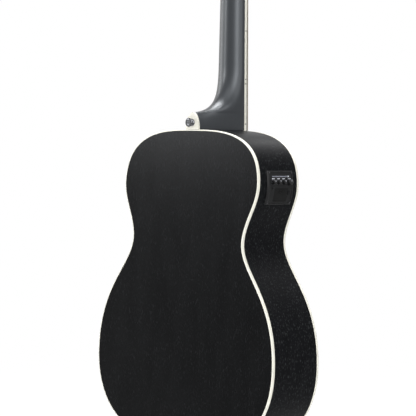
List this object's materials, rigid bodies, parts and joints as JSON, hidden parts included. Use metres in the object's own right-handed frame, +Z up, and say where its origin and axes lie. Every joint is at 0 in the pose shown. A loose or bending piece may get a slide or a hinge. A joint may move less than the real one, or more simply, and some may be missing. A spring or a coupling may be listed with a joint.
{
  "type": "acoustic bass guitar",
  "caption": "Acoustic-electric bass guitar with a satin black body, ivory bindings, a preamp in its side and open-geared tuners.",
  "frame": {"origin": "on the centreline where the nut meets the fretboard, on the plane where the fretboard is glued to the neck, which is also the soundboard's outer face", "axes": "+Z up along the neck towards the headstock, +Y from the soundboard towards the back, +X towards the treble side"},
  "size_m": [0.3812, 0.124, 1.1516],
  "materials": {
    "body_black": "open-pore satin black over a fine straight-grained top and back",
    "side_black": "open-pore satin black with fine lighter pores",
    "neck_black": "smooth satin black",
    "ivory_plastic": "satin ivory binding plastic",
    "inner_mahogany": "bare sanded mahogany",
    "brace_spruce": "bare sanded spruce",
    "dark_fretwood": "oiled dark hardwood",
    "bone": "polished bone substitute",
    "black_plastic": "fine satin black",
    "knob_plastic": "semi-gloss black",
    "inner_plastic": "dull black",
    "battery_jacket": "printed steel jacket",
    "pickup_brass": "drawn",
    "plain_steel": "drawn",
    "string_bronze": "wound",
    "chrome": "polished plating"
  },
  "bodies": {
    "instrument": {"soundboard": "body_black", "rosette": "ivory_plastic", "back_plate": "body_black", "treble_side": "side_black", "bass_side": "side_black", "top_binding": "ivory_plastic", "back_binding": "ivory_plastic", "top_lining": "inner_mahogany", "back_lining": "inner_mahogany", "neck_block": "inner_mahogany", "tail_block": "inner_mahogany", "x_brace": "brace_spruce", "upper_transverse_brace": "brace_spruce", "tone_bar": "brace_spruce", "back_brace_1": "brace_spruce", "back_brace_2": "brace_spruce", "back_brace_3": "brace_spruce", "back_brace_4": "brace_spruce", "bridge": "dark_fretwood", "bridge_plate": "inner_mahogany", "undersaddle_pickup": "pickup_brass", "saddle": "bone", "bridge_pin_e": "black_plastic", "bridge_pin_a": "black_plastic", "bridge_pin_d": "black_plastic", "bridge_pin_g": "black_plastic", "neck": "neck_black", "truss_rod": "plain_steel", "truss_rod_cover": "black_plastic", "heel_cap": "ivory_plastic", "strap_button": "chrome", "fretboard": "dark_fretwood", "fretboard_binding": "ivory_plastic", "nut": "bone", "string_e": "string_bronze", "string_a": "string_bronze", "string_d": "string_bronze", "string_g": "string_bronze", "tuner_plate_e": "chrome", "tuner_plate_a": "chrome", "tuner_plate_d": "chrome", "tuner_plate_g": "chrome", "preamp_panel": "black_plastic", "preamp_housing": "inner_plastic", "battery": "battery_jacket", "output_jack": "chrome"},
    "tuner_key_e": {"tuner_key_e": "chrome"},
    "tuner_post_e": {"tuner_post_e": "chrome"},
    "tuner_key_a": {"tuner_key_a": "chrome"},
    "tuner_post_a": {"tuner_post_a": "chrome"},
    "tuner_key_d": {"tuner_key_d": "chrome"},
    "tuner_post_d": {"tuner_post_d": "chrome"},
    "tuner_key_g": {"tuner_key_g": "chrome"},
    "tuner_post_g": {"tuner_post_g": "chrome"},
    "volume_knob": {"volume_knob": "knob_plastic"},
    "treble_knob": {"treble_knob": "knob_plastic"},
    "middle_knob": {"middle_knob": "knob_plastic"},
    "bass_knob": {"bass_knob": "knob_plastic"},
    "tune_button": {"tune_button": "knob_plastic"},
    "battery_door": {"battery_door": "black_plastic"}
  },
  "joints": [
    {"name": "tuner_key_e_turn", "type": "hinge", "parent": "instrument", "child": "tuner_key_e", "pos_m": [-0.025, 0.02961, 0.04301], "axis": [-1, 0, 0], "continuous": true},
    {"name": "tuner_post_e_turn", "type": "hinge", "parent": "instrument", "child": "tuner_post_e", "pos_m": [-0.025, 0.0126, 0.05956], "axis": [0, -0.9744, 0.225], "continuous": true},
    {"name": "tuner_key_a_turn", "type": "hinge", "parent": "instrument", "child": "tuner_key_a", "pos_m": [-0.023, 0.04356, 0.10342], "axis": [-1, 0, 0], "continuous": true},
    {"name": "tuner_post_a_turn", "type": "hinge", "parent": "instrument", "child": "tuner_post_a", "pos_m": [-0.023, 0.02654, 0.11998], "axis": [0, -0.9744, 0.225], "continuous": true},
    {"name": "tuner_key_d_turn", "type": "hinge", "parent": "instrument", "child": "tuner_key_d", "pos_m": [0.023, 0.04356, 0.10342], "axis": [1, 0, 0], "continuous": true},
    {"name": "tuner_post_d_turn", "type": "hinge", "parent": "instrument", "child": "tuner_post_d", "pos_m": [0.023, 0.02654, 0.11998], "axis": [0, -0.9744, 0.225], "continuous": true},
    {"name": "tuner_key_g_turn", "type": "hinge", "parent": "instrument", "child": "tuner_key_g", "pos_m": [0.025, 0.02961, 0.04301], "axis": [1, 0, 0], "continuous": true},
    {"name": "tuner_post_g_turn", "type": "hinge", "parent": "instrument", "child": "tuner_post_g", "pos_m": [0.025, 0.0126, 0.05956], "axis": [0, -0.9744, 0.225], "continuous": true},
    {"name": "volume_knob_turn", "type": "hinge", "parent": "instrument", "child": "volume_knob", "pos_m": [-0.1461, 0.024, -0.54908], "axis": [-0.9987, 0, 0.0507], "range_deg": [-135, 135]},
    {"name": "treble_knob_turn", "type": "hinge", "parent": "instrument", "child": "treble_knob", "pos_m": [-0.1461, 0.037, -0.54908], "axis": [-0.9987, 0, 0.0507], "range_deg": [-135, 135]},
    {"name": "middle_knob_turn", "type": "hinge", "parent": "instrument", "child": "middle_knob", "pos_m": [-0.1461, 0.0483, -0.54908], "axis": [-0.9987, 0, 0.0507], "range_deg": [-135, 135]},
    {"name": "bass_knob_turn", "type": "hinge", "parent": "instrument", "child": "bass_knob", "pos_m": [-0.1461, 0.0596, -0.54908], "axis": [-0.9987, 0, 0.0507], "range_deg": [-135, 135]},
    {"name": "tune_button_press", "type": "slide", "parent": "instrument", "child": "tune_button", "axis": [0.9985, 0, 0.0547], "range_m": [0, 0.0006], "stiffness_N_per_m": 400, "springref_m": -0.0004},
    {"name": "battery_door_hinge", "type": "hinge", "parent": "instrument", "child": "battery_door", "pos_m": [-0.14189, 0.042, -0.57838], "axis": [0, -1, 0], "range_deg": [0, 95]}
  ],
  "couplings": [
    {"joint": "tuner_post_e_turn", "follows": "tuner_key_e_turn", "ratio": -0.05},
    {"joint": "tuner_post_a_turn", "follows": "tuner_key_a_turn", "ratio": -0.05},
    {"joint": "tuner_post_d_turn", "follows": "tuner_key_d_turn", "ratio": 0.05},
    {"joint": "tuner_post_g_turn", "follows": "tuner_key_g_turn", "ratio": 0.05}
  ]
}
